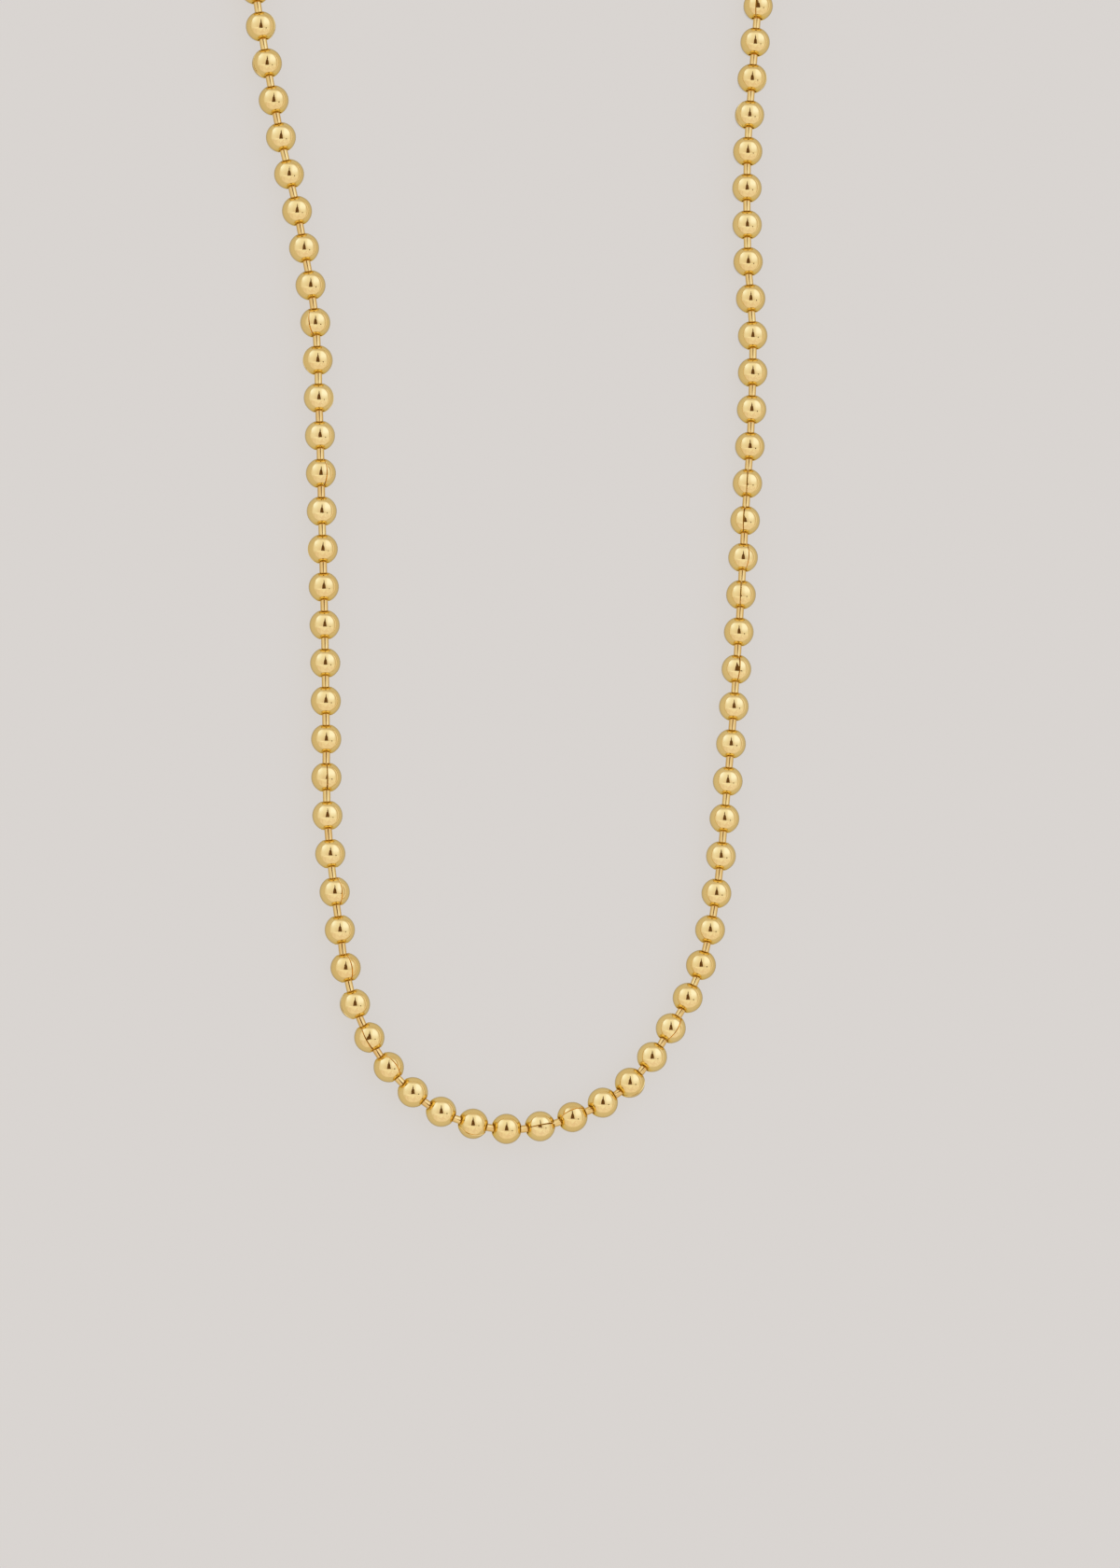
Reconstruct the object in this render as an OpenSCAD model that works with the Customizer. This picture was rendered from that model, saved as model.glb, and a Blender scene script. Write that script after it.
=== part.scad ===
// Ball chain necklace: a closed loop of hollow balls joined by headed rods, lying flat on a surface.
// +X and +Y lie in the surface, +Z is up. The origin is the middle of the loop's box, on the surface.

/* [Balls] */
// Diameter of a ball
ball_d = 3; // [2.4:0.1:3.2]
// Wall of a ball
ball_wall = 0.25; // [0.2:0.01:0.3]
// Width of the open seam down one side of a ball
seam_w = 0.08; // [0.04:0.01:0.16]

/* [Link rods] */
// Diameter of a rod
rod_d = 0.75; // [0.6:0.05:0.85]
// How much wider a ball's holes are than the rod
rod_play = 0.35; // [0.3:0.05:0.5]
// How much wider a rod's head is than the hole that holds it
head_grip = 0.2; // [0.15:0.05:0.3]
// Thickness of a rod's head
head_t = 0.35; // [0.25:0.05:0.4]
// Space between a head and the ball's wall on a taut stretch
head_play = 0.25; // [0.2:0.01:0.3]

/* [Spacing] */
// Space between the holes of two balls on a taut stretch
taut_gap = 1; // [0.9:0.05:1.3]
// The same space in the loose bend
slack_gap = 0.62; // [0.55:0.01:0.8]
// Links on the +X side of the bend's lowest ball over which the chain tightens
slack_right = 11; // [6:1:14]
// The same on the -X side
slack_left = 8; // [6:1:14]

/* [Connector] */
// Wall of the connector
sleeve_wall = 0.3; // [0.25:0.05:0.5]
// Space between the connector and the balls in it
sleeve_play = 0.12; // [0.1:0.01:0.2]
// Space between the holes of the two balls in the connector
end_gap = 0.5; // [0.4:0.05:0.8]
// Width of the connector's long slot
slot_w = 1.2; // [1.1:0.05:1.4]
// How much wider the connector's end holes are than the rod
exit_play = 0.85; // [0.75:0.05:1]
// How much wider the connector's middle opening is than a ball
window_play = 0.1; // [0.05:0.05:0.3]
// Links over which the chain comes down from the connector to the surface
ramp_links = 3; // [2:1:5]

/* [Hidden] */
$fn = 48;

// The loop's route through the ball centres, from the bend's lowest ball towards +X and round.
route = [
    [-5.4, -34.3], [1.2, -33.1], [7, -29.7], [11.3, -24.1], [14.3, -18], [16, -10.4], [17.1, 0],
    [17.8, 8], [18.5, 18], [19.1, 28], [19.7, 37], [19.9, 46], [19.4, 55], [19.5, 66], [20.6, 80],
    [22, 95], [22.2, 112.3], [18.6, 127.3], [9.5, 138.7], [-5, 143.7], [-19.6, 139.2], [-29.6, 127.8],
    [-33.2, 112.3], [-32.8, 95], [-31.2, 80], [-29, 67], [-26.6, 56], [-24.9, 46], [-24.4, 36],
    [-24.1, 26], [-23.8, 16], [-23.6, 6], [-23.4, -4], [-22.4, -13], [-20.8, -21.6],
    [-17.4, -28.1], [-12.1, -32.6]
];

// Where a ball's seam shows: ball, counted from the lowest one with -X negative, and the seam's
// turn about the chain, from straight up towards the outside of the loop.
SEAM_BALL = 0;
SEAM_TURN = 1;
seams = [
    [1, -5], [2, -30], [4, 55], [6, 15], [16, 0], [18, -15], [19, 10], [20, -20], [21, -15],
    [-1, 50], [-4, -20], [-5, 25], [-6, 75], [-7, -15], [-9, -20], [-12, 5], [-18, 90],
    [-20, -15], [-22, -70], [-23, 85], [-24, 35]
];
// Balls each way from the lowest one whose other seams lie underneath
seams_under = 30;

ball_r = ball_d / 2;
hole_d = rod_d + rod_play;
head_d = hole_d + head_grip;
inner_r = ball_r - ball_wall;
middle_r = ball_r - ball_wall / 2;
rim_z = sqrt(pow(ball_r, 2) - pow(hole_d / 2, 2));
hole_z = sqrt(pow(middle_r, 2) - pow(hole_d / 2, 2));
neck_z = sqrt(pow(inner_r, 2) - pow(head_d / 2, 2)) - head_play;
past = 1;

taut_pitch = 2 * rim_z + taut_gap;
end_pitch = 2 * rim_z + end_gap;
rod_len = taut_pitch - 2 * (neck_z - head_t);

sleeve_in = ball_d + 2 * sleeve_play;
sleeve_d = sleeve_in + 2 * sleeve_wall;
dome_in = end_pitch / 2 + ball_r + sleeve_play;
dome_out = dome_in + sleeve_wall;
exit_d = rod_d + exit_play;
window_d = ball_d + window_play;

// A smooth closed curve through the route, cut into short straight steps
CURVE_STEPS = 12;
function wrapped(i) = route[(i + len(route)) % len(route)];
function curve(a, b, c, d, t) =
    b + (c - a) * t / 2 + (a - 2.5 * b + 2 * c - d / 2) * t * t + (1.5 * b - a / 2 - 1.5 * c + d / 2) * t * t * t;
path = [
    for (i = [0:len(route)], k = [0:(i < len(route) ? CURVE_STEPS - 1 : 0)])
        curve(wrapped(i - 1), wrapped(i), wrapped(i + 1), wrapped(i + 2), k / CURVE_STEPS)
];
distance = [
    for (i = 0, s = 0; i < len(path); s = s + norm(path[min(i + 1, len(path) - 1)] - path[i]), i = i + 1) s
];
path_x = [for (i = [0:len(path) - 1]) [distance[i], path[i].x]];
path_y = [for (i = [0:len(path) - 1]) [distance[i], path[i].y]];
route_len = distance[len(path) - 1];

// Links are counted round the loop from the lowest ball; the bend's links are pushed together.
function closed_up(j, reach) =
    j < reach ? (taut_gap - slack_gap) * pow(cos(90 * pow(j / reach, 2)), 2) : 0;
function closed_sum(j, reach) = j < reach ? closed_up(j + 0.5, reach) + closed_sum(j + 1, reach) : 0;
bend_slack = closed_sum(0, slack_right) + closed_sum(0, slack_left);
links = ceil((route_len - end_pitch + bend_slack) / taut_pitch);
pitch = (route_len - end_pitch + bend_slack) / links;
count = links + 1;
last_before = floor(count / 2) - 1;
function round_loop(i) = (i + count) % count;
function signed(i) = i > last_before ? i - count : i;
function link_slack(n) = n > 0 ? closed_up(n, slack_right) : closed_up(-n, slack_left);
function step(i) = i == last_before ? end_pitch : pitch - link_slack(signed(i) + 0.5);
station = [for (i = 0, s = 0; i < count; s = s + step(i), i = i + 1) s];

// The connector is thicker than a ball, so the chain rises to it over a few links.
function links_from_end(i) = i > last_before ? i - last_before - 1 : last_before - i;
function rise(i) =
    links_from_end(i) < ramp_links ? (sleeve_d - ball_d) / 2 * pow(cos(90 * links_from_end(i) / ramp_links), 2) : 0;
laid = [for (i = [0:count - 1]) [lookup(station[i], path_x), lookup(station[i], path_y), ball_r + rise(i)]];

function unit(v) = v / norm(v);

// The loop's box, with its origin at the middle of the underside
sleeve_dir = unit(laid[last_before + 1] - laid[last_before]);
sleeve_half = sqrt(pow(dome_out, 2) - pow(sleeve_d / 2, 2));
sleeve_top =
    (laid[last_before].y + laid[last_before + 1].y) / 2
    + abs(sleeve_dir.x) * sleeve_d / 2 + abs(sleeve_dir.y) * sleeve_half;
low = [min([for (p = laid) p.x]) - ball_r, min([for (p = laid) p.y]) - ball_r];
high = [max([for (p = laid) p.x]) + ball_r, max(max([for (p = laid) p.y]) + ball_r, sleeve_top)];
middle = [(low.x + high.x) / 2, (low.y + high.y) / 2, 0];
centre = [for (p = laid) p - middle];

function ball_axis(i) = unit(centre[round_loop(i + 1)] - centre[round_loop(i - 1)]);
function seam_rows(n) = [for (row = seams) if (row[SEAM_BALL] == n) row[SEAM_TURN]];
function seam_turn(n) =
    len(seam_rows(n)) > 0 ? seam_rows(n)[0] : abs(n) <= seams_under ? 180 + 70 * sin(77 * n) : 137 * n;

// Turns +X onto v, with +Z kept as near to up as it can be
module along(v) {
    rotate([0, -asin(v.z), atan2(v.y, v.x)])
        children();
}

// The part of a disc that lies between two distances from its middle line
module disc_slice(r, from_x, to_x) {
    intersection() {
        circle(r = r);
        translate([from_x, -r])
            square([to_x - from_x, 2 * r]);
    }
}

module turned_about_x() {
    rotate([0, 90, 0])
        rotate_extrude()
            children();
}

module ball() {
    difference() {
        turned_about_x()
            difference() {
                disc_slice(ball_r, hole_d / 2, ball_d);
                circle(r = inner_r);
            }
        translate([0, 0, ball_r])
            cube([ball_d + past, seam_w, ball_d], center = true);
    }
}

module link_rod() {
    turned_about_x()
        polygon([
            [0, -rod_len / 2], [head_d / 2, -rod_len / 2], [head_d / 2, head_t - rod_len / 2],
            [rod_d / 2, head_t - rod_len / 2], [rod_d / 2, rod_len / 2 - head_t],
            [head_d / 2, rod_len / 2 - head_t], [head_d / 2, rod_len / 2], [0, rod_len / 2]
        ]);
}

// A round sleeve with domed ends, open along the top and round its middle, where a ball goes in
module sleeve() {
    difference() {
        turned_about_x()
            difference() {
                disc_slice(dome_out, exit_d / 2, sleeve_d / 2);
                disc_slice(dome_in, 0, sleeve_in / 2);
            }
        translate([0, 0, sleeve_d / 2])
            cube([2 * dome_out + past, slot_w, sleeve_d], center = true);
        cylinder(d = window_d, h = sleeve_d);
    }
}

module balls() {
    color("#d9b25c")
        for (i = [0:count - 1])
            translate(centre[i])
                along(ball_axis(i))
                    rotate([seam_turn(signed(i)), 0, 0])
                        ball();
}

module link_rods() {
    color("#c99b45")
        for (i = [0:count - 1])
            if (i != last_before) {
                from = centre[i] + hole_z * ball_axis(i);
                to = centre[round_loop(i + 1)] - hole_z * ball_axis(i + 1);
                translate((from + to) / 2)
                    along(unit(to - from))
                        link_rod();
            }
}

module connector() {
    from = centre[last_before];
    to = centre[last_before + 1];
    color("#d2aa55")
        translate((from + to) / 2)
            along(unit(to - from))
                sleeve();
}

balls();
link_rods();
connector();
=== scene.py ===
import math

import bmesh
import bpy
import numpy as np
from mathutils import Matrix, Vector


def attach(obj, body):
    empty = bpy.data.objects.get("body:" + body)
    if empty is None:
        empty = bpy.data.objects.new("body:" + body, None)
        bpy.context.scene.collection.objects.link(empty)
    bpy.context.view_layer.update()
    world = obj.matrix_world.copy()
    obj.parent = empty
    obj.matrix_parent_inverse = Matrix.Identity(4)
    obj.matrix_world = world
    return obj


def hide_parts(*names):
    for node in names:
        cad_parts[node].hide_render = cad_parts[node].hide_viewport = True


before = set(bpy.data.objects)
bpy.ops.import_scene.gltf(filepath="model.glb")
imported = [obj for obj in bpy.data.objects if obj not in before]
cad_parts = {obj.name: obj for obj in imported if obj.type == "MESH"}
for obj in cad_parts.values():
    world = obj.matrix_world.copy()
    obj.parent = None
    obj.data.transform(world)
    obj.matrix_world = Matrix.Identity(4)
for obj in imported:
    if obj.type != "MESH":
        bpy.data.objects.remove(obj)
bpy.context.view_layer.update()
mm = 0.001
print("stage: frame loaded")


def linearColour(hexText):
    parts = [int(hexText[i:i + 2], 16) / 255 for i in (1, 3, 5)]
    return tuple(c / 12.92 if c <= 0.04045 else ((c + 0.055) / 1.055) ** 2.4 for c in parts) + (1.0,)


def addNode(tree, kind, settings=None, links=None):
    # a setting is a property of the node, or else one of its inputs
    node = tree.nodes.new(kind)
    for name, value in (settings or {}).items():
        if isinstance(name, str) and hasattr(node, name):
            setattr(node, name, value)
        else:
            node.inputs[name].default_value = value
    for name, source in (links or {}).items():
        tree.links.new(source, node.inputs[name])
    return node


def newMaterial(name):
    material = bpy.data.materials.new(name)
    material.use_nodes = True
    material.node_tree.nodes.clear()
    return material, material.node_tree


# The chain as it lies, read from the solids

samePlace = 0.0001 * mm  # corners closer than this are one
outerShare = 0.93  # corners further out than this share of the reach lie on a ball's outside


def looseParts(node):
    # the corners of each separate solid of a node
    shape = bmesh.new()
    shape.from_mesh(node.data)
    bmesh.ops.remove_doubles(shape, verts=shape.verts, dist=samePlace)
    parts, seen = [], set()
    for first in shape.verts:
        if first in seen:
            continue
        seen.add(first)
        part, waiting = [], [first]
        while waiting:
            corner = waiting.pop()
            part.append(tuple(corner.co))
            for edge in corner.link_edges:
                other = edge.other_vert(corner)
                if other not in seen:
                    seen.add(other)
                    waiting.append(other)
        parts.append(np.array(part))
    shape.free()
    return parts


def fittedSphere(corners):
    # the centre and radius of the ball that a part's outermost corners lie on
    middle = (corners.min(axis=0) + corners.max(axis=0)) / 2
    reach = np.linalg.norm(corners - middle, axis=1)
    outer = corners[reach > outerShare * reach.max()] - middle
    rows = np.c_[2 * outer, np.ones(len(outer))]
    found = np.linalg.lstsq(rows, (outer ** 2).sum(axis=1), rcond=None)[0]
    return found[:3] + middle, math.sqrt(found[3] + found[:3] @ found[:3])


def longAxis(corners):
    # the middle and direction of a straight round part
    middle = corners.mean(axis=0)
    return middle, np.linalg.svd(corners - middle, full_matrices=False)[2][0]


def aroundLoop(points):
    # the balls in order, from the lowest in the picture towards +X
    left = list(range(len(points)))
    order = [left.pop(int(points[:, 1].argmin()))]
    while left:
        gaps = np.linalg.norm(points[left] - points[order[-1]], axis=1)
        if len(order) == 1:
            gaps = gaps - points[left][:, 0]
        order.append(left.pop(int(gaps.argmin())))
    return order


balls = [fittedSphere(part) for part in looseParts(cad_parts["balls"])]
ballCentres = np.array([centre for centre, radius in balls])
ballCentres = ballCentres[aroundLoop(ballCentres)]
ballRadius = float(np.median([radius for centre, radius in balls]))
ballAxes = np.roll(ballCentres, -1, axis=0) - np.roll(ballCentres, 1, axis=0)
rods = [longAxis(part) for part in looseParts(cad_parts["link_rods"])]
lowestBall = Vector(ballCentres[0])
print("stage: read", len(balls), "balls of", round(2 * ballRadius / mm, 3), "mm and", len(rods), "rods")


# Camera, at the photograph's angle: nearly straight down, from a little left of and below the bend

cameraSettings = {
    "pictureMiddle": (5.4 * mm, 34.3 * mm),  # from the bend's lowest ball
    "distance": 550 * mm,
    "tiltLeft": 12,  # degrees off straight down
    "tiltFront": 6,
    "lens": 127,
    "sensor": 36,
    "clip": (0.01, 50),
}
cameraTarget = lowestBall + Vector((*cameraSettings["pictureMiddle"], 0))
cameraBack = Vector((
    -math.tan(math.radians(cameraSettings["tiltLeft"])),
    -math.tan(math.radians(cameraSettings["tiltFront"])),
    1,
)).normalized()
cameraUp = (Vector((0, 1, 0)) - cameraBack.y * cameraBack).normalized()
cameraRight = cameraUp.cross(cameraBack)


def facing(place, right, up, back):
    turned = Matrix((right, up, back)).transposed().to_4x4()
    return Matrix.Translation(place) @ turned


cameraData = bpy.data.cameras.new("camera")
cameraData.lens = cameraSettings["lens"]
cameraData.sensor_width = cameraSettings["sensor"]
cameraData.clip_start, cameraData.clip_end = cameraSettings["clip"]
camera = bpy.data.objects.new("camera", cameraData)
camera.matrix_world = facing(
    cameraTarget + cameraSettings["distance"] * cameraBack, cameraRight, cameraUp, cameraBack
)
bpy.context.scene.collection.objects.link(camera)
bpy.context.scene.camera = camera


# Materials

goldSettings = {
    "plate": "#F7D98F",  # bright gold plate
    "plateDeep": "#F4D386",
    "rodPlate": "#F2CF80",
    "rodPlateDeep": "#ECC274",
    "paintedShadeGold": "#F8CE42",  # painted shade and painted reflection: deeper orange inside a ball, down its seam and round its holes
    "edge": "#D4D4D0",  # what the plate shows when seen along its surface
    "roughness": (0.03, 0.08),
    "rodRoughness": (0.04, 0.1),
    "sleeveRoughness": (0.08, 0.16),
    "cloud": 0.9 * mm,  # size of the patches where the polish changes
    "cloudRange": (0.35, 0.7),  # of the noise, from the clearest to the haziest polish
    "ripple": 0.35 * mm,  # size of the dents that tumbling leaves
    "rippleDepth": 0.004 * mm,
    "scratch": 0.06 * mm,
    "scratchRoughness": 0.03,
    "shadeMaskRoughness": 0.35,  # roughness that the painted-shade mask adds
}


def polishedGoldPlate(name, plate, plateDeep, roughness, stretch):
    # Brass, pressed or drawn, tumbled and gold plated: a mirror with soft ripples, a faint cloudy
    # haze where the polish is worn, and painted shade and reflection, duller and deeper orange, round the holes,
    # inside and down the seams.
    material, tree = newMaterial(name)
    place = addNode(tree, "ShaderNodeTexCoord")
    tone = addNode(tree, "ShaderNodeAttribute", {"attribute_name": "tone"})
    paintedShade = addNode(tree, "ShaderNodeAttribute", {"attribute_name": "paintedShade"})
    squeezed = addNode(tree, "ShaderNodeMapping", {"Scale": stretch}, {"Vector": place.outputs["Object"]})
    cloud, ripple, scratch = [
        addNode(tree, "ShaderNodeTexNoise", {"Scale": 1 / goldSettings[size], "Detail": detail}, {"Vector": where})
        for size, detail, where in (
            ("cloud", 3.0, place.outputs["Object"]),
            ("ripple", 2.0, place.outputs["Object"]),
            ("scratch", 2.0, squeezed.outputs["Vector"]),
        )
    ]
    clearest, haziest = goldSettings["cloudRange"]
    haze = addNode(tree, "ShaderNodeMapRange", {
        "From Min": clearest, "From Max": haziest, "To Min": roughness[0], "To Max": roughness[1],
    }, {"Value": cloud.outputs["Fac"]})
    worn = addNode(tree, "ShaderNodeMath", {"operation": "MULTIPLY_ADD", 1: goldSettings["scratchRoughness"]},
                   {0: scratch.outputs["Fac"], 2: haze.outputs["Result"]})
    dull = addNode(tree, "ShaderNodeMath", {"operation": "MULTIPLY_ADD", 1: goldSettings["shadeMaskRoughness"]},
                   {0: paintedShade.outputs["Fac"], 2: worn.outputs["Value"]})
    toned = addNode(tree, "ShaderNodeMix", {
        "data_type": "RGBA",
        6: linearColour(goldSettings[plate]),
        7: linearColour(goldSettings[plateDeep]),
    }, {0: tone.outputs["Fac"]})
    # painted shade and painted reflection: the colour turns deeper orange by the mask round the holes, inside and
    # down the seams
    colour = addNode(tree, "ShaderNodeMix", {"data_type": "RGBA", 7: linearColour(goldSettings["paintedShadeGold"])},
                     {0: paintedShade.outputs["Fac"], 6: toned.outputs[2]})
    bump = addNode(tree, "ShaderNodeBump", {"Strength": 1.0, "Distance": goldSettings["rippleDepth"]},
                   {"Height": ripple.outputs["Fac"]})
    shader = addNode(tree, "ShaderNodeBsdfPrincipled", {
        "Metallic": 1.0,
        "Specular Tint": linearColour(goldSettings["edge"]),
    }, {
        "Base Color": colour.outputs[2],
        "Roughness": dull.outputs["Value"],
        "Normal": bump.outputs["Normal"],
    })
    addNode(tree, "ShaderNodeOutputMaterial", None, {"Surface": shader.outputs["BSDF"]})
    return material


ballGold = polishedGoldPlate(
    "polishedGoldPlateOnPressedBrass", "plate", "plateDeep", goldSettings["roughness"], (1, 1, 1)
)
rodGold = polishedGoldPlate(
    "goldPlateOnDrawnBrassWire", "rodPlate", "rodPlateDeep", goldSettings["rodRoughness"], (1, 1, 1)
)
sleeveGold = polishedGoldPlate(
    "goldPlateOnRolledBrassSheet", "plate", "plateDeep", goldSettings["sleeveRoughness"], (0.2, 1.5, 1)
)
print("stage: materials made")


# A string of like pieces on points, by Geometry Nodes

def instanceTree(name):
    tree = bpy.data.node_groups.new(name, "GeometryNodeTree")
    for label, kind in (
        ("Places", "NodeSocketGeometry"),
        ("Piece", "NodeSocketObject"),
        ("Size", "NodeSocketFloat"),
        ("Tone Seed", "NodeSocketInt"),
        ("Finish", "NodeSocketMaterial"),
    ):
        tree.interface.new_socket(label, in_out="INPUT", socket_type=kind)
    tree.interface.new_socket("String", in_out="OUTPUT", socket_type="NodeSocketGeometry")
    inputs = addNode(tree, "NodeGroupInput")
    piece = addNode(tree, "GeometryNodeObjectInfo", None, {"Object": inputs.outputs["Piece"]})
    turn = addNode(tree, "GeometryNodeInputNamedAttribute", {"data_type": "FLOAT_VECTOR", "Name": "turn"})
    rotation = addNode(tree, "FunctionNodeEulerToRotation", None, {"Euler": turn.outputs["Attribute"]})
    points = addNode(tree, "GeometryNodeMeshToPoints", None, {"Mesh": inputs.outputs["Places"]})
    placed = addNode(tree, "GeometryNodeInstanceOnPoints", None, {
        "Points": points.outputs["Points"],
        "Instance": piece.outputs["Geometry"],
        "Rotation": rotation.outputs["Rotation"],
        "Scale": inputs.outputs["Size"],
    })
    tone = addNode(tree, "FunctionNodeRandomValue", {"data_type": "FLOAT"}, {"Seed": inputs.outputs["Tone Seed"]})
    toned = addNode(tree, "GeometryNodeStoreNamedAttribute", {
        "data_type": "FLOAT", "domain": "INSTANCE", "Name": "tone",
    }, {"Geometry": placed.outputs["Instances"], "Value": tone.outputs[1]})
    real = addNode(tree, "GeometryNodeRealizeInstances", None, {"Geometry": toned.outputs["Geometry"]})
    dressed = addNode(tree, "GeometryNodeSetMaterial", None, {
        "Geometry": real.outputs["Geometry"],
        "Material": inputs.outputs["Finish"],
    })
    addNode(tree, "NodeGroupOutput", None, {"String": dressed.outputs["Geometry"]})
    return tree


piecesOnPoints = instanceTree("pieces on points")


def stringOf(name, piece, places, turns, finish, toneSeed):
    points = bpy.data.meshes.new(name + "Places")
    points.from_pydata([tuple(p) for p in places], [], [])
    turn = points.attributes.new("turn", "FLOAT_VECTOR", "POINT")
    turn.data.foreach_set("vector", [value for t in turns for value in t])
    holder = bpy.data.objects.new(name + "Holder", points)
    bpy.context.scene.collection.objects.link(holder)
    modifier = holder.modifiers.new("string", "NODES")
    modifier.node_group = piecesOnPoints
    sockets = {
        item.name: item.identifier for item in piecesOnPoints.interface.items_tree if item.in_out == "INPUT"
    }
    modifier[sockets["Piece"]] = piece
    modifier[sockets["Size"]] = 1.0
    modifier[sockets["Tone Seed"]] = toneSeed
    modifier[sockets["Finish"]] = finish
    scene = bpy.context.evaluated_depsgraph_get()
    mesh = bpy.data.meshes.new_from_object(holder.evaluated_get(scene), depsgraph=scene)
    mesh.name = name
    string = bpy.data.objects.new(name, mesh)
    bpy.context.scene.collection.objects.link(string)
    bpy.data.objects.remove(holder)
    bpy.data.objects.remove(piece)
    return string


def alongAxis(axis, roll):
    # +X onto the axis with +Z kept up, after a turn about +X
    heading = Matrix.Rotation(math.atan2(axis[1], axis[0]), 3, "Z")
    climb = Matrix.Rotation(-math.atan2(axis[2], math.hypot(axis[0], axis[1])), 3, "Y")
    return tuple((heading @ climb @ Matrix.Rotation(roll, 3, "X")).to_euler())


sharpFrom = math.radians(50)  # edges that turn more than this stay crisp


def lathed(name, outline, columns, opening=None, soften=0.0):
    # Turns an outline of (x, radius, shade) round X. opening gives, for an x, the width of a gap that
    # stays open on the +Z side, its lips softened. shade tells how much painted shade and reflection the
    # finish puts there. An outline that starts on the axis ends there too, and any other closes on itself.
    solid = outline[0][1] == 0
    shape = bmesh.new()
    paintedShade = shape.verts.layers.float.new("paintedShade")
    rings = []
    for column in range(columns):
        ring = []
        for x, radius, shaded in outline:
            if opening:
                lip = column in (0, columns - 1)
                drop = soften if lip and shaded < 1 else 0.0
                reach = radius - drop * radius / math.hypot(x, radius)
                along = x - drop * x / math.hypot(x, radius)
                edge = math.asin(opening(x) / 2 / reach)
                near = math.asin((opening(x) / 2 + soften) / reach)
                if lip:
                    angle = edge if column == 0 else 2 * math.pi - edge
                else:
                    angle = near + (2 * math.pi - 2 * near) * (column - 1) / (columns - 3)
            else:
                along, reach, angle = x, radius, 2 * math.pi * column / columns
            corner = shape.verts.new((along, -reach * math.sin(angle), reach * math.cos(angle)))
            corner[paintedShade] = shaded
            ring.append(corner)
        rings.append(ring)
    pairs = list(zip(rings, rings[1:])) + ([] if opening else [(rings[-1], rings[0])])
    for ringA, ringB in pairs:
        for i in range(len(outline) - 1 if solid else len(outline)):
            j = (i + 1) % len(outline)
            shape.faces.new((ringA[i], ringA[j], ringB[j], ringB[i]))
    if solid:
        bmesh.ops.remove_doubles(shape, verts=shape.verts, dist=samePlace)
    if opening:
        shape.faces.new(rings[0])
        shape.faces.new(rings[-1])
    bmesh.ops.triangulate(shape, faces=[f for f in shape.faces if len(f.verts) > 4])
    bmesh.ops.recalc_face_normals(shape, faces=shape.faces)
    mesh = bpy.data.meshes.new(name)
    shape.to_mesh(mesh)
    shape.free()
    mesh.shade_smooth()
    mesh.set_sharp_from_angle(angle=sharpFrom)
    piece = bpy.data.objects.new(name, mesh)
    bpy.context.scene.collection.objects.link(piece)
    return piece


# Balls

ballSettings = {
    "wall": 0.25 * mm,
    "hole": 1.1 * mm,
    "rim": 0.06 * mm,  # how round the edge of a hole is
    "seam": (0.04 * mm, 0.12 * mm),  # at its two ends
    "lip": 0.03 * mm,  # how far the seam's edges are softened
    "shadeAtRim": 0.8,  # how much painted shade and reflection a hole's rim has
    "shadeTo": 44,  # degrees off the hole's axis where that ends
    "columns": 33,
    "rimSteps": 4,
    "steps": 13,
    "insideSteps": 4,
    "toneSeed": 4,
    # ball, counted from the bend's lowest one with -X negative: its seam's turn about the chain,
    # from straight up towards the outside of the loop
    "seams": {
        1: -5, 2: -30, 4: 55, 6: 15, 16: 0, 18: -15, 19: 10, 20: -20, 21: -15,
        -1: 50, -4: -20, -5: 25, -6: 75, -7: -15, -9: -20, -12: 5, -18: 90,
        -20: -15, -22: -70, -23: 85, -24: 35,
    },
    "seamsUnder": 30,  # balls each way whose other seams lie underneath
    "underSwing": (70, 77),  # degrees either side of straight down, and how fast it swings
    "scatter": 137,  # degrees from one seam to the next on the other balls
}


def ballOutline():
    hole, rim = ballSettings["hole"] / 2, ballSettings["rim"]
    inside = ballRadius - ballSettings["wall"]
    rimAway = hole + rim
    rimAlong = math.sqrt((ballRadius - rim) ** 2 - rimAway ** 2)
    start = math.atan2(rimAway, rimAlong)
    atRim, rimSteps = ballSettings["shadeAtRim"], ballSettings["rimSteps"]
    shadeTo = math.radians(ballSettings["shadeTo"])
    oneEnd = []
    for step in range(rimSteps):  # round the rim, from the hole's wall to the outside
        angle = -math.pi / 2 + (start + math.pi / 2) * step / rimSteps
        shaded = 1.0 if step == 0 else atRim
        oneEnd.append((rimAlong + rim * math.cos(angle), rimAway + rim * math.sin(angle), shaded))
    outline = list(oneEnd)
    for step in range(ballSettings["steps"] + 1):
        angle = start + (math.pi - 2 * start) * step / ballSettings["steps"]
        fromPole = min(angle, math.pi - angle)
        # the painted shade and reflection fade out from the rim towards the ball's middle
        left = max(0.0, 1 - (fromPole - start) / (shadeTo - start))
        outline.append((ballRadius * math.cos(angle), ballRadius * math.sin(angle), atRim * left))
    outline += [(-x, radius, shaded) for x, radius, shaded in reversed(oneEnd)]
    inStart = math.asin(hole / inside)
    for step in range(ballSettings["insideSteps"] + 1):
        angle = math.pi - inStart - (math.pi - 2 * inStart) * step / ballSettings["insideSteps"]
        outline.append((inside * math.cos(angle), inside * math.sin(angle), 1.0))
    return outline


def seamWidth(x):
    # the seam tapers from one hole to the other
    narrow, wide = ballSettings["seam"]
    return narrow + (wide - narrow) * (x / ballRadius + 1) / 2


def seamTurn(index):
    # how far a ball's seam is turned about the chain
    number = index if index < len(ballCentres) / 2 else index - len(ballCentres)
    if number in ballSettings["seams"]:
        return math.radians(ballSettings["seams"][number])
    if abs(number) <= ballSettings["seamsUnder"]:
        swing, pace = ballSettings["underSwing"]
        return math.radians(180 + swing * math.sin(math.radians(pace * number)))
    return math.radians(ballSettings["scatter"] * number)


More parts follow.
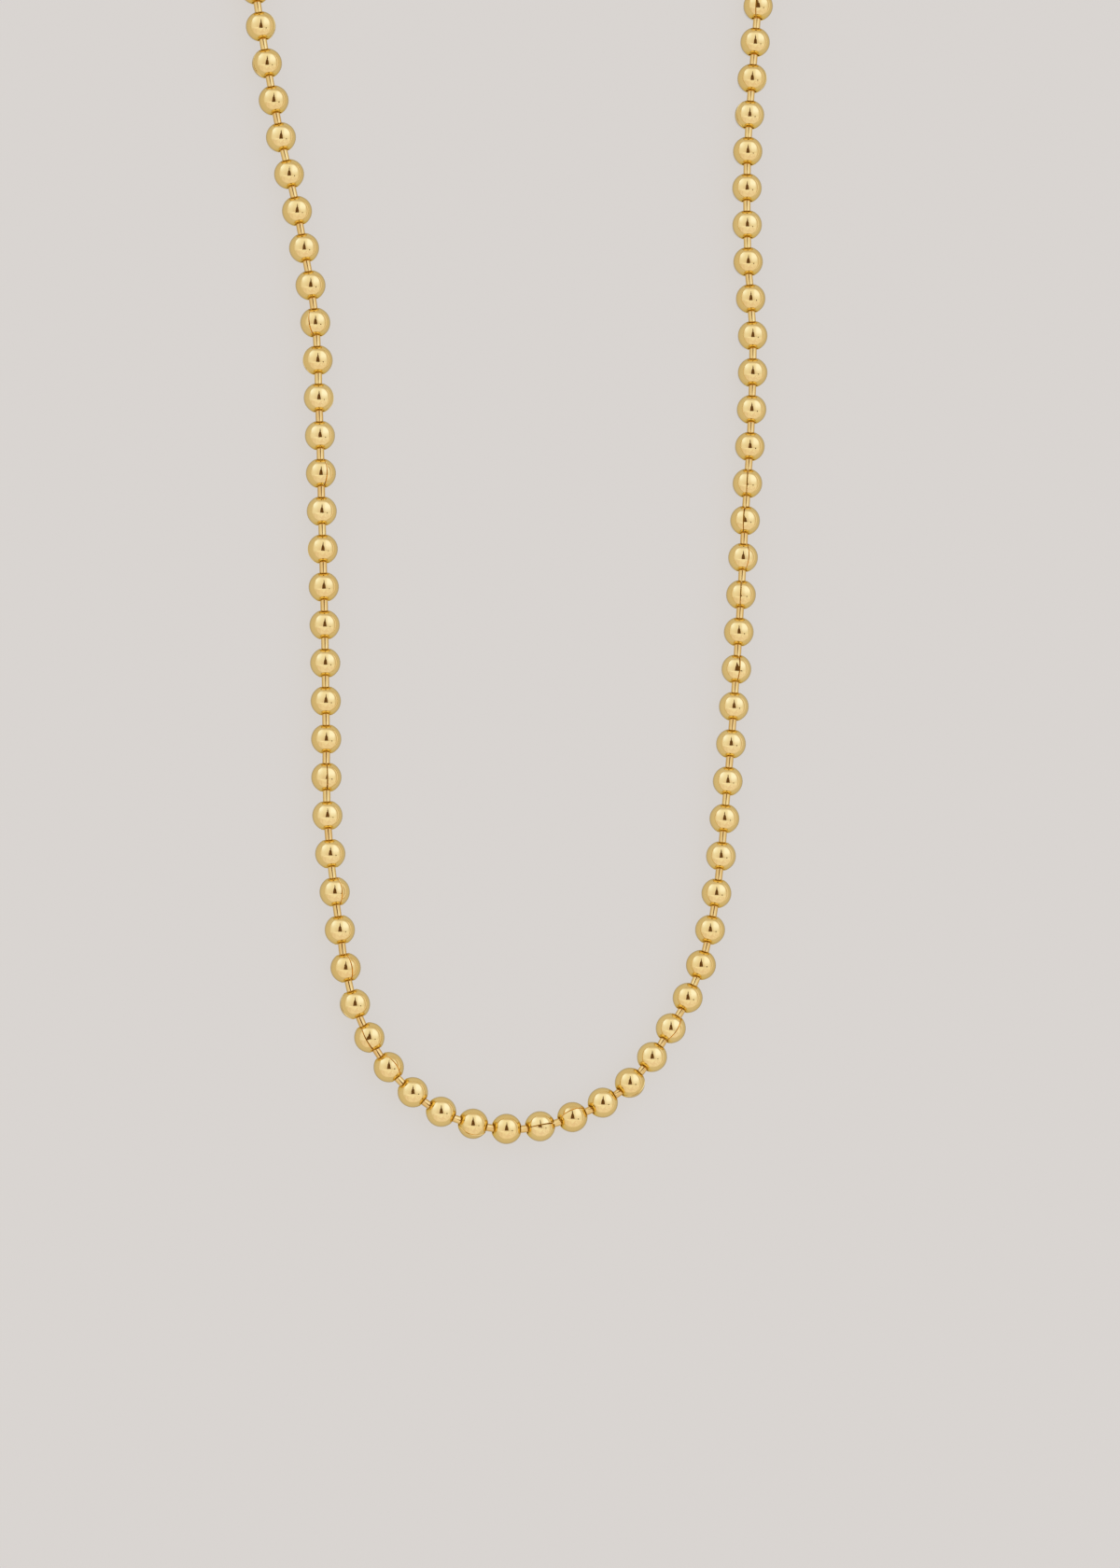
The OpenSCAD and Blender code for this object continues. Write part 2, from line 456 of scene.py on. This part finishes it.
oneBall = lathed("oneBall", ballOutline(), ballSettings["columns"], seamWidth, ballSettings["lip"])
print("stage: one ball has", sum(len(p.vertices) - 2 for p in oneBall.data.polygons), "triangles")
ballString = stringOf(
    "hollowBalls", oneBall, ballCentres,
    [alongAxis(axis, seamTurn(i)) for i, axis in enumerate(ballAxes)],
    ballGold, ballSettings["toneSeed"],
)
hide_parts("balls")
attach(ballString, "root")


# Link rods

rodSettings = {
    "shaft": 0.75 * mm,
    "head": 1.3 * mm,
    "headThickness": 0.35 * mm,
    "edge": 0.05 * mm,  # how rounded its edges are
    "columns": 18,
    "toneSeed": 11,
}


def rodOutline(length):
    half, edge = length / 2, rodSettings["edge"]
    shaft, head = rodSettings["shaft"] / 2, rodSettings["head"] / 2
    neck = half - rodSettings["headThickness"]
    near = 0.3 * edge  # how far a rounded edge's middle stays from its corner
    oneEnd = [
        (half, 0.0), (half, head - 2 * edge), (half - near, head - edge), (half - edge, head - near),
        (half - 2 * edge, head), (neck + edge, head), (neck, head - edge), (neck, shaft + edge),
        (neck - near, shaft + near), (neck - edge, shaft),
    ]
    return [(x, radius, 0.0) for x, radius in oneEnd] + [(-x, radius, 0.0) for x, radius in reversed(oneEnd)]


rodLength = float(np.median([
    np.ptp((part - part.mean(axis=0)) @ longAxis(part)[1]) for part in looseParts(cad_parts["link_rods"])
]))
oneRod = lathed("oneRod", rodOutline(rodLength), rodSettings["columns"])
rodString = stringOf(
    "headedRods", oneRod, [middle for middle, axis in rods],
    [alongAxis(axis, 0.0) for middle, axis in rods],
    rodGold, rodSettings["toneSeed"],
)
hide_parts("link_rods")
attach(rodString, "root")
print("stage: balls and rods strung")


# Connector: a sleeve open along its top, its two end balls let in through the middle opening

sleeveSettings = {
    "play": 0.12 * mm,  # between it and the two balls in it
    "holeGap": 0.5 * mm,  # between the holes of those balls
    "wall": 0.3 * mm,
    "exit": 1.6 * mm,
    "slot": 1.2 * mm,
    "opening": 3.1 * mm,
    "lip": 0.05 * mm,
    # painted shade and reflection at the edge of each exit hole
    "shadeAtExit": 0.6,
    # where it is cut across, as shares of half the middle opening, closest where the opening meets the slot
    "cuts": (1.12, 1.0, 0.98, 0.95, 0.922, 0.88, 0.8, 0.7, 0.58, 0.45, 0.32, 0.19, 0.06),
    "columns": 43,
    "toneSeed": 1,
}


def sleeveOutline():
    # each end is domed round its ball
    wall = sleeveSettings["wall"]
    bore = ballRadius + sleeveSettings["play"]
    holeAlong = math.sqrt(ballRadius ** 2 - (ballSettings["hole"] / 2) ** 2)
    out, dome = bore + wall, sleeveSettings["holeGap"] / 2 + holeAlong + bore + wall
    low, soft = sleeveSettings["exit"] / 2, sleeveSettings["lip"]
    cuts = [sleeveSettings["opening"] / 2 * share for share in sleeveSettings["cuts"]]
    # from the exit hole over the dome to the middle, then the same inside
    outer = [(math.sqrt(dome ** 2 - radius ** 2), radius) for radius in (
        low + soft, low + 0.35 * (out - low), low + 0.7 * (out - low), out - 2 * soft
    )]
    shoulder = math.sqrt(dome ** 2 - out ** 2)
    outer += [(shoulder - 0.4 * soft, out - 0.4 * soft), (shoulder - 2 * soft, out)] + [(x, out) for x in cuts]
    inside = dome - wall
    inner = [(math.sqrt(inside ** 2 - radius ** 2), radius) for radius in (low, low + 0.5 * (bore - low), bore)]
    inner += [(x, bore) for x in cuts]
    start = (math.sqrt(dome ** 2 - low ** 2) - soft, low)
    # the exit edge and the inside carry painted shade and reflection, the outside none
    half = [(*start, sleeveSettings["shadeAtExit"])] + [(x, radius, 0.0) for x, radius in outer]
    back = [(x, radius, 1.0) for x, radius in inner]
    mirrored = [(-x, radius, shaded) for x, radius, shaded in reversed(half)]
    mirroredBack = [(-x, radius, shaded) for x, radius, shaded in back]
    return half + mirrored + mirroredBack + list(reversed(back))


def sleeveOpening(x):
    # the round opening in the middle, and the slot past it
    slot, wide = sleeveSettings["slot"], sleeveSettings["opening"]
    return max(slot, 2 * math.sqrt(max(0.0, (wide / 2) ** 2 - x ** 2)))


nextBalls = np.roll(ballCentres, -1, axis=0)
held = int(np.linalg.norm(nextBalls - ballCentres, axis=1).argmin())
oneSleeve = lathed("oneSleeve", sleeveOutline(), sleeveSettings["columns"], sleeveOpening, sleeveSettings["lip"])
sleeve = stringOf(
    "openSleeve", oneSleeve, [(ballCentres[held] + nextBalls[held]) / 2],
    [alongAxis(nextBalls[held] - ballCentres[held], 0.0)], sleeveGold, sleeveSettings["toneSeed"],
)
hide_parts("connector")
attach(sleeve, "root")
print("stage: sleeve made")


# Floor and light

floorSettings = {
    "size": 12.0,
    "colour": "#DBD6D0",
    "glow": 0.88,  # how much of its brightness shines through from below, as on a light table
    "paintedShadowReach": 0.45 * mm,  # painted contact shadow: how far off a thing still darkens the glow under it
}
floorMesh = bpy.data.meshes.new("floor")
floorReach = floorSettings["size"] / 2
floorCorners = [
    (-floorReach, -floorReach, 0), (floorReach, -floorReach, 0), (floorReach, floorReach, 0),
    (0, floorReach, 0), (-floorReach, floorReach, 0),
]
# cut so that no inner edge runs near the chain, where it would show as a faint line
floorMesh.from_pydata(floorCorners, [], [(0, 1, 3), (1, 2, 3), (3, 4, 0)])
floor = bpy.data.objects.new("floor", floorMesh)
bpy.context.scene.collection.objects.link(floor)
# Cast opal acrylic, lit from below, its glow darkened by painted contact shadow where something is close to it
floorMaterial, floorTree = newMaterial("opalAcrylicSheet")
floorColour = linearColour(floorSettings["colour"])
paintedContactShadow = addNode(floorTree, "ShaderNodeAmbientOcclusion", {"samples": 8, "Distance": floorSettings["paintedShadowReach"]})
glow = addNode(floorTree, "ShaderNodeEmission", {"Color": floorColour}, {"Strength": paintedContactShadow.outputs["AO"]})
painted = addNode(floorTree, "ShaderNodeBsdfDiffuse", {"Color": floorColour})
floorShader = addNode(floorTree, "ShaderNodeMixShader", {"Fac": floorSettings["glow"]},
                      {1: painted.outputs["BSDF"], 2: glow.outputs["Emission"]})
addNode(floorTree, "ShaderNodeOutputMaterial", None, {"Surface": floorShader.outputs["Shader"]})
floorMesh.materials.append(floorMaterial)

# The room's light comes from all round. Its zones are laid out as a polished ball seen from the camera
# shows them: across and up from the ball's middle, as shares of its radius.
lightSettings = {
    "room": ("#FFF8F4", 0.66),
    "zones": [
        # colour, strength, evenness, then across, up and out from the middle: from, softness, to, softness
        ("#F8F4FF", 0.84, "even", (-0.7, 0.12, 0.7, 0.1), (-0.64, 0.08, 0.68, 0.1), (-1, 0.1, 0.66, 0.05)),
        ("#F0F2FF", 0.96, "even", (0.5, 0.05, 0.9, 0.05), (-0.45, 0.1, 0.5, 0.1), (-1, 0.1, 0.67, 0.015)),
        ("#F6F2FF", 0.97, "even", (-0.3, 0.1, 0.66, 0.06), (-0.62, 0.06, -0.1, 0.07), (-1, 0.1, 0.69, 0.03)),
        ("#FFF8F4", 0.73, "even", (-0.56, 0.08, -0.32, 0.1), (-0.6, 0.08, -0.24, 0.08), (-1, 0.1, 0.69, 0.03)),
        ("#E4EAFF", 1.26, "even", (-0.12, 0.26, 0.6, 0.08), (-0.5, 0.12, -0.14, 0.04), (-1, 0.1, 0.63, 0.06)),
        ("#F4EEFF", 0.96, "uneven", (-0.5, 0.1, 0.54, 0.06), (-0.58, 0.06, -0.2, 0.04), (-1, 0.1, 0.64, 0.04)),
        ("#E8ECFF", 1.12, "even", (-0.58, 0.09, 0.57, 0.05), (-0.14, 0.03, 0.58, 0.05), (-1, 0.1, 0.66, 0.05)),
        ("#F4F0FF", 0.9, "even", (-0.26, 0.12, 0.26, 0.08), (-0.12, 0.02, 0.1, 0.16), (-1, 0.1, 1, 0.1)),
        ("#E0E8FF", 1.32, "even", (-0.46, 0.1, 0.56, 0.1), (0.36, 0.22, 0.58, 0.05), (-1, 0.1, 0.66, 0.04)),
        ("#B9CCFF", 2.4, "even", (-0.52, 0.04, -0.34, 0.26), (0.28, 0.25, 0.66, 0.07), (-1, 0.1, 0.76, 0.05)),
        ("#C5D3FF", 2.0, "even", (0.2, 0.1, 0.58, 0.06), (0.1, 0.22, 0.56, 0.07), (-1, 0.1, 0.65, 0.05)),
        ("#E4E9FF", 1.32, "even", (-0.4, 0.14, -0.1, 0.1), (-0.2, 0.03, -0.12, 0.02), (-1, 0.1, 1, 0.1)),
        ("#F2F2FF", 0.86, "even", (0.1, 0.05, 0.45, 0.05), (-0.13, 0.02, -0.09, 0.02), (-1, 0.1, 1, 0.1)),
        ("#F6F4FF", 0.95, "even", (0.5, 0.1, 0.9, 0.05), (-0.5, 0.1, 0.6, 0.1), (0.71, 0.01, 0.85, 0.05)),
        ("#FFF0E8", 0.64, "even", (0.3, 0.2, 0.9, 0.2), (-0.3, 0.15, 0.5, 0.15), (0.68, 0.01, 0.72, 0.01)),
    ],
    # dark stands behind the camera: their corners as the ball shows them
    "stands": [
        [
            (-0.11, -0.11), (0.14, -0.11), (0.12, 0.06), (0.09, 0.2), (0.06, 0.24), (0.06, 0.32), (0.04, 0.4),
            (0.03, 0.47), (0.01, 0.47), (0, 0.38), (-0.02, 0.25), (-0.06, 0.2), (-0.09, 0.05),
        ],
        [(0.35, -0.15), (0.42, -0.15), (0.41, -0.08), (0.36, -0.075)],
    ],
    "standDistance": 620 * mm,
    "standColour": "#745224",
    "standRoughness": 0.8,
    "patches": (5.0, 0.42, 0.62),  # of an uneven zone: how many to a ball's radius, and the noise's range
}

world = bpy.data.worlds.new("studio")
world.use_nodes = True
light = world.node_tree
light.nodes.clear()
outwards = addNode(light, "ShaderNodeTexCoord")
halfway = addNode(light, "ShaderNodeVectorMath", {"operation": "ADD", 1: cameraBack},
                  {0: outwards.outputs["Generated"]})
onBall = addNode(light, "ShaderNodeVectorMath", {"operation": "NORMALIZE"}, {0: halfway.outputs["Vector"]})
placeAcross, placeUp, placeFacing = [
    addNode(light, "ShaderNodeVectorMath", {"operation": "DOT_PRODUCT", 1: axis}, {0: onBall.outputs["Vector"]})
    for axis in (cameraRight, cameraUp, cameraBack)
]
awayAngle = addNode(light, "ShaderNodeMath", {"operation": "ARCCOSINE"}, {0: placeFacing.outputs["Value"]})
placeOut = addNode(light, "ShaderNodeMath", {"operation": "SINE"}, {0: awayAngle.outputs["Value"]})


def tinted(hexText, strength):
    return (*(strength * c for c in linearColour(hexText)[:3]), 1)


def masked(mask, place, start, startSoft, end, endSoft):
    # cuts a mask off softly on either side of a band
    for edge, soft in ((start, startSoft), (end, -endSoft)):
        step = addNode(light, "ShaderNodeMapRange", {
            "interpolation_type": "SMOOTHSTEP", "From Min": edge - soft, "From Max": edge + soft,
        }, {"Value": place.outputs["Value"]})
        if mask:
            step = addNode(light, "ShaderNodeMath", {"operation": "MULTIPLY"}, {0: mask, 1: step.outputs[0]})
        mask = step.outputs[0]
    return mask


patches, patchStart, patchEnd = lightSettings["patches"]
crinkle = addNode(light, "ShaderNodeTexNoise", {"Scale": patches, "Detail": 1.0},
                  {"Vector": onBall.outputs["Vector"]})
patchy = addNode(light, "ShaderNodeMapRange", {"From Min": patchStart, "From Max": patchEnd},
                 {"Value": crinkle.outputs["Fac"]})
seenColour = None
for colour, strength, evenness, *bands in lightSettings["zones"]:
    mask = patchy.outputs["Result"] if evenness == "uneven" else None
    for place, band in zip((placeAcross, placeUp, placeOut), bands):
        mask = masked(mask, place, *band)
    zone = addNode(light, "ShaderNodeMix", {
        "data_type": "RGBA", 6: tinted(*lightSettings["room"]), 7: tinted(colour, strength),
    }, {0: mask} | ({6: seenColour} if seenColour else {}))
    seenColour = zone.outputs[2]
background = addNode(light, "ShaderNodeBackground", None, {"Color": seenColour})
addNode(light, "ShaderNodeOutputWorld", None, {"Surface": background.outputs["Background"]})
bpy.context.scene.world = world


def seenInBall(across, up):
    # where a thing stands that a polished ball shows at this place, at the stands' distance
    facingUs = math.sqrt(1 - across ** 2 - up ** 2)
    share = 2 * facingUs / (2 * facingUs ** 2 - 1)
    return cameraTarget + lightSettings["standDistance"] * (
        cameraBack + share * (across * cameraRight + up * cameraUp)
    )


standMesh = bpy.data.meshes.new("darkStands")
corners, shapes = [], []
for shape in lightSettings["stands"]:
    shapes.append(tuple(range(len(corners), len(corners) + len(shape))))
    corners += [tuple(seenInBall(*corner)) for corner in shape]
standMesh.from_pydata(corners, [], shapes)
stand = bpy.data.objects.new("darkStands", standMesh)
bpy.context.scene.collection.objects.link(stand)
stand.visible_camera = False
# Aluminium, blasted and anodised a dark bronze
standMaterial, standTree = newMaterial("bronzeAnodisedAluminium")
standShader = addNode(standTree, "ShaderNodeBsdfPrincipled", {
    "Base Color": linearColour(lightSettings["standColour"]), "Roughness": lightSettings["standRoughness"],
})
addNode(standTree, "ShaderNodeOutputMaterial", None, {"Surface": standShader.outputs["BSDF"]})
standMesh.materials.append(standMaterial)
bpy.context.scene.view_settings.view_transform = "Standard"
print("stage: floor and light set")
